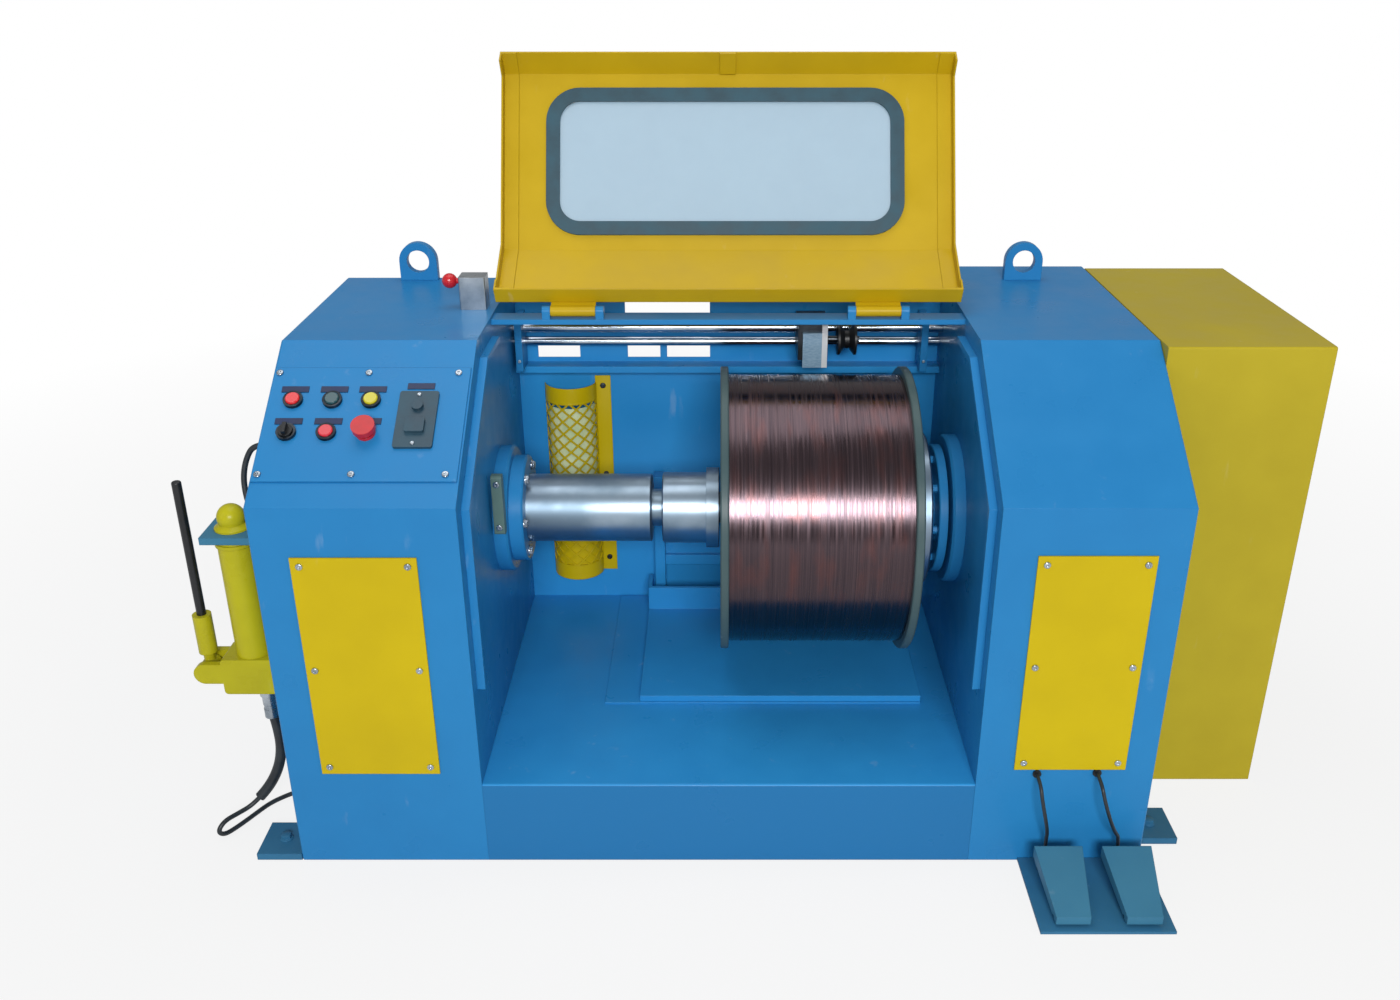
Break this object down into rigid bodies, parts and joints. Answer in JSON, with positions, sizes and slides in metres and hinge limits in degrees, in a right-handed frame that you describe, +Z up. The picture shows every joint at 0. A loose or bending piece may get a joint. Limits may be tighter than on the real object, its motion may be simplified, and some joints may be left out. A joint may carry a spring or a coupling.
{
  "type": "wire take-up machine",
  "caption": "Motor-driven wire take-up machine: a spindle and a sliding quill hold a reel under a hinged cover with a window, with a traverse, a lift table, a hand pump and foot pedals.",
  "frame": {"origin": "on the floor straight below the spindle line, halfway along the blue frame", "axes": "+X along the spindle to the drive end, +Y from the operator to the back, +Z up"},
  "size_m": [1.831, 0.909, 1.2249],
  "materials": {
    "blue_paint": "satin machine enamel",
    "yellow_paint": "satin machine enamel",
    "teal_paint": "satin enamel",
    "pump_paint": "glossy enamel",
    "bright_steel": "turned and ground",
    "dark_steel": "oiled dark",
    "rod_chrome": "polished",
    "reel_steel": "worn grey-green paint",
    "copper_wire": "bright drawn wire",
    "aluminium": "milled",
    "seal_rubber": "matt",
    "window_glass": "clear",
    "red_plastic": "gloss",
    "black_plastic": "matt",
    "label_plastic": "matt",
    "black_rubber": "matt",
    "mixed_buttons": "gloss"
  },
  "bodies": {
    "root": {"left_housing": "blue_paint", "right_housing": "blue_paint", "base_pan": "blue_paint", "back_wall": "blue_paint", "hinge_beam": "blue_paint", "rim_strips": "blue_paint", "access_panels": "yellow_paint", "control_panel": "blue_paint", "button_bezels": "bright_steel", "push_buttons": "mixed_buttons", "selector_switch": "black_plastic", "emergency_stop": "red_plastic", "legend_plates": "label_plastic", "socket_plate": "black_plastic", "lifting_lugs": "blue_paint", "drive_box": "yellow_paint", "foot_plates": "teal_paint", "left_bearing_housing": "blue_paint", "right_bearing_housing": "blue_paint", "quill_clamp": "bright_steel", "traverse_rods": "rod_chrome", "traverse_brackets": "blue_paint", "wire_guard": "yellow_paint", "lift_guide": "blue_paint", "cover_latch": "aluminium", "latch_knob": "red_plastic", "pump_body": "pump_paint", "pump_cylinder": "pump_paint", "pump_bracket": "teal_paint", "pedal_base": "teal_paint", "cord_grommets": "black_rubber", "pedal_cord_left": "black_rubber", "pedal_cord_right": "black_rubber", "pump_hose": "black_rubber", "pump_line": "black_rubber", "pump_return": "black_rubber"},
    "cover": {"cover_shell": "yellow_paint", "window_seal": "seal_rubber", "window_pane": "window_glass", "cover_hinges": "yellow_paint"},
    "reel": {"reel_flange_left": "reel_steel", "reel_flange_right": "reel_steel", "wire_winding": "copper_wire", "drive_disc": "bright_steel", "spindle_flange": "blue_paint"},
    "quill": {"quill": "bright_steel"},
    "quill_nose": {"quill_nose": "bright_steel"},
    "carriage": {"traverse_carriage": "dark_steel", "carriage_plate": "aluminium"},
    "pulley": {"guide_pulley": "black_plastic"},
    "lift_table": {"lift_platform": "blue_paint"},
    "lever": {"pump_lever": "pump_paint", "lever_handle": "black_plastic"},
    "left_pedal": {"pedal_left": "teal_paint"},
    "right_pedal": {"pedal_right": "teal_paint"}
  },
  "joints": [
    {"name": "cover_hinge", "type": "hinge", "parent": "root", "child": "cover", "pos_m": [0.0125, 0.028, 0.83], "axis": [1, 0, 0], "range_deg": [0, 150]},
    {"name": "reel_spin", "type": "hinge", "parent": "root", "child": "reel", "pos_m": [0.2, 0, 0.478], "axis": [1, 0, 0], "continuous": true},
    {"name": "quill_slide", "type": "slide", "parent": "root", "child": "quill", "axis": [-1, 0, 0], "range_m": [0, 0.12]},
    {"name": "nose_spin", "type": "hinge", "parent": "quill", "child": "quill_nose", "pos_m": [-0.06, 0, 0.478], "axis": [1, 0, 0], "continuous": true},
    {"name": "traverse_slide", "type": "slide", "parent": "root", "child": "carriage", "axis": [1, 0, 0], "range_m": [-0.22, 0.065]},
    {"name": "pulley_spin", "type": "hinge", "parent": "carriage", "child": "pulley", "pos_m": [0.23, 0.184, 0.733], "axis": [1, 0, 0], "continuous": true},
    {"name": "table_lift", "type": "slide", "parent": "root", "child": "lift_table", "axis": [0, 0, 1], "range_m": [0, 0.054]},
    {"name": "lever_swing", "type": "hinge", "parent": "root", "child": "lever", "pos_m": [-0.848, -0.247, 0.303], "axis": [0, 1, 0], "range_deg": [-60, 0]},
    {"name": "left_pedal_press", "type": "hinge", "parent": "root", "child": "left_pedal", "pos_m": [0.547, -0.52, 0.014], "axis": [1, 0, 0], "range_deg": [-6, 0], "stiffness_Nm_per_rad": 8, "springref_deg": 8.59},
    {"name": "right_pedal_press", "type": "hinge", "parent": "root", "child": "right_pedal", "pos_m": [0.658, -0.52, 0.014], "axis": [1, 0, 0], "range_deg": [-6, 0], "stiffness_Nm_per_rad": 8, "springref_deg": 8.59}
  ]
}
